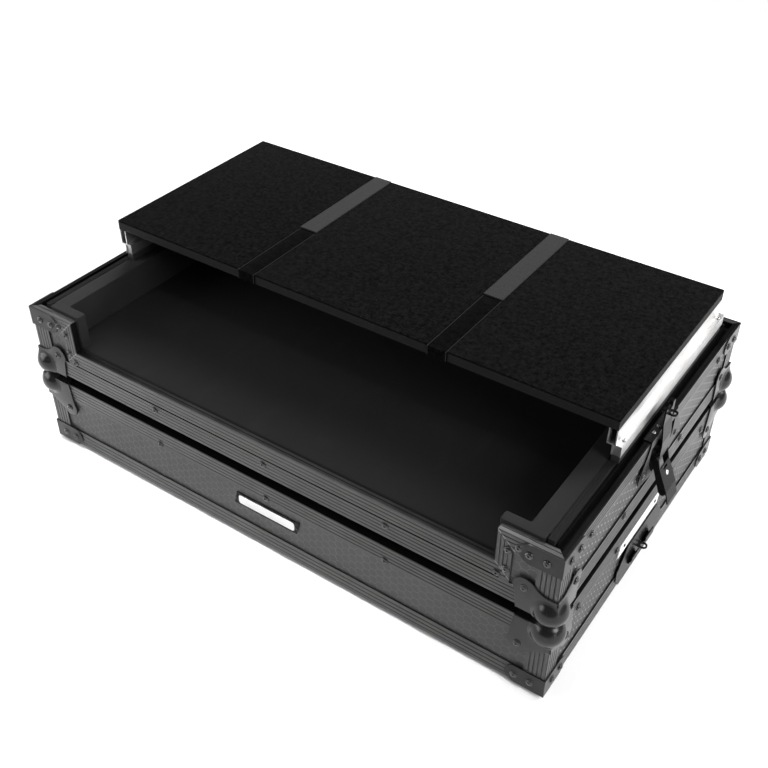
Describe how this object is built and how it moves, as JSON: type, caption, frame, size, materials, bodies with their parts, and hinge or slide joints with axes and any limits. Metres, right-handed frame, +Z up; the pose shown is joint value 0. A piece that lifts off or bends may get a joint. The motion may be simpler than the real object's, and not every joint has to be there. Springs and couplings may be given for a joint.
{
  "type": "flight case for a controller",
  "caption": "Black flight case: padded base tray with cut-out front stands on its lid, with ball corners, side latches and a sliding felt-covered platform.",
  "frame": {"origin": "on the floor under the middle of the case, with the base standing on the lid", "axes": "+X to the right along the front, +Y from the cut-out front to the back, +Z up"},
  "size_m": [0.7718, 0.48, 0.2683],
  "materials": {
    "laminate": "black hexagon-patterned laminate on plywood",
    "black_bar": "black anodised, ribbed",
    "black_steel": "gloss black coated steel",
    "black_foam": "fabric-faced foam",
    "block_foam": "dense foam block",
    "black_felt": "napped felt and pile",
    "hook_grey": "hook tape",
    "bright_rail": "bright mill finish",
    "black_board": "black plywood",
    "badge_white": "blank white plate"
  },
  "bodies": {
    "lid": {"front_badge": "badge_white", "latch_keeper_left": "black_steel", "latch_keeper_right": "black_steel", "lid_back_panel": "laminate", "lid_ball_corner_back_left": "black_steel", "lid_ball_corner_back_right": "black_steel", "lid_ball_corner_front_left": "black_steel", "lid_ball_corner_front_right": "black_steel", "lid_brace_back_left": "black_bar", "lid_brace_back_right": "black_bar", "lid_brace_front_left": "black_bar", "lid_brace_front_right": "black_bar", "lid_edge_frame": "black_bar", "lid_foam": "black_foam", "lid_front_panel": "laminate", "lid_left_panel": "laminate", "lid_right_panel": "laminate", "lid_rim_frame": "black_bar", "lid_top_panel": "laminate", "side_badge": "badge_white"},
    "base": {"base_back_panel": "laminate", "base_ball_corner_back_left": "black_steel", "base_ball_corner_back_right": "black_steel", "base_ball_corner_front_left": "black_steel", "base_ball_corner_front_right": "black_steel", "base_bottom_panel": "laminate", "base_brace_back_left": "black_bar", "base_brace_back_right": "black_bar", "base_brace_front_left": "black_bar", "base_brace_front_right": "black_bar", "base_edge_frame": "black_bar", "base_front_panel": "laminate", "base_left_panel": "laminate", "base_right_panel": "laminate", "base_rim_bar_back": "black_bar", "base_rim_bar_left": "black_bar", "base_rim_bar_right": "black_bar", "cutout_frame": "black_bar", "foam_floor": "black_foam", "latch_dish_left": "black_steel", "latch_dish_right": "black_steel", "side_block_left": "block_foam", "side_block_right": "block_foam", "track_strip_left": "black_felt", "track_strip_right": "black_felt"},
    "platform": {"hook_strap_left": "hook_grey", "hook_strap_right": "hook_grey", "loop_strip_left": "black_felt", "loop_strip_right": "black_felt", "platform_board": "black_board", "platform_felt_left": "black_felt", "platform_felt_middle": "black_felt", "platform_felt_right": "black_felt", "platform_rail_left": "bright_rail", "platform_rail_right": "bright_rail"},
    "latch_lever_left": {"latch_lever_left": "black_steel"},
    "latch_claw_left": {"latch_claw_left": "black_steel"},
    "latch_lever_right": {"latch_lever_right": "black_steel"},
    "latch_claw_right": {"latch_claw_right": "black_steel"}
  },
  "joints": [
    {"name": "base_lift", "type": "slide", "parent": "lid", "child": "base", "axis": [0, 0, 1], "range_m": [0, 0.3]},
    {"name": "platform_slide", "type": "slide", "parent": "base", "child": "platform", "axis": [0, 1, 0], "range_m": [-0.13, 0.03]},
    {"name": "lever_left_swing", "type": "hinge", "parent": "base", "child": "latch_lever_left", "pos_m": [-0.361, 0, 0.172], "axis": [0, 1, 0], "range_deg": [-4, 90]},
    {"name": "claw_left_swing", "type": "hinge", "parent": "latch_lever_left", "child": "latch_claw_left", "pos_m": [-0.36192, 0, 0.16748], "axis": [0, 1, 0], "range_deg": [-90, 4]},
    {"name": "lever_right_swing", "type": "hinge", "parent": "base", "child": "latch_lever_right", "pos_m": [0.361, 0, 0.172], "axis": [0, -1, 0], "range_deg": [-4, 90]},
    {"name": "claw_right_swing", "type": "hinge", "parent": "latch_lever_right", "child": "latch_claw_right", "pos_m": [0.36192, 0, 0.16748], "axis": [0, -1, 0], "range_deg": [-90, 4]}
  ],
  "couplings": [
    {"joint": "claw_left_swing", "follows": "lever_left_swing", "ratio": -1},
    {"joint": "claw_right_swing", "follows": "lever_right_swing", "ratio": -1}
  ]
}
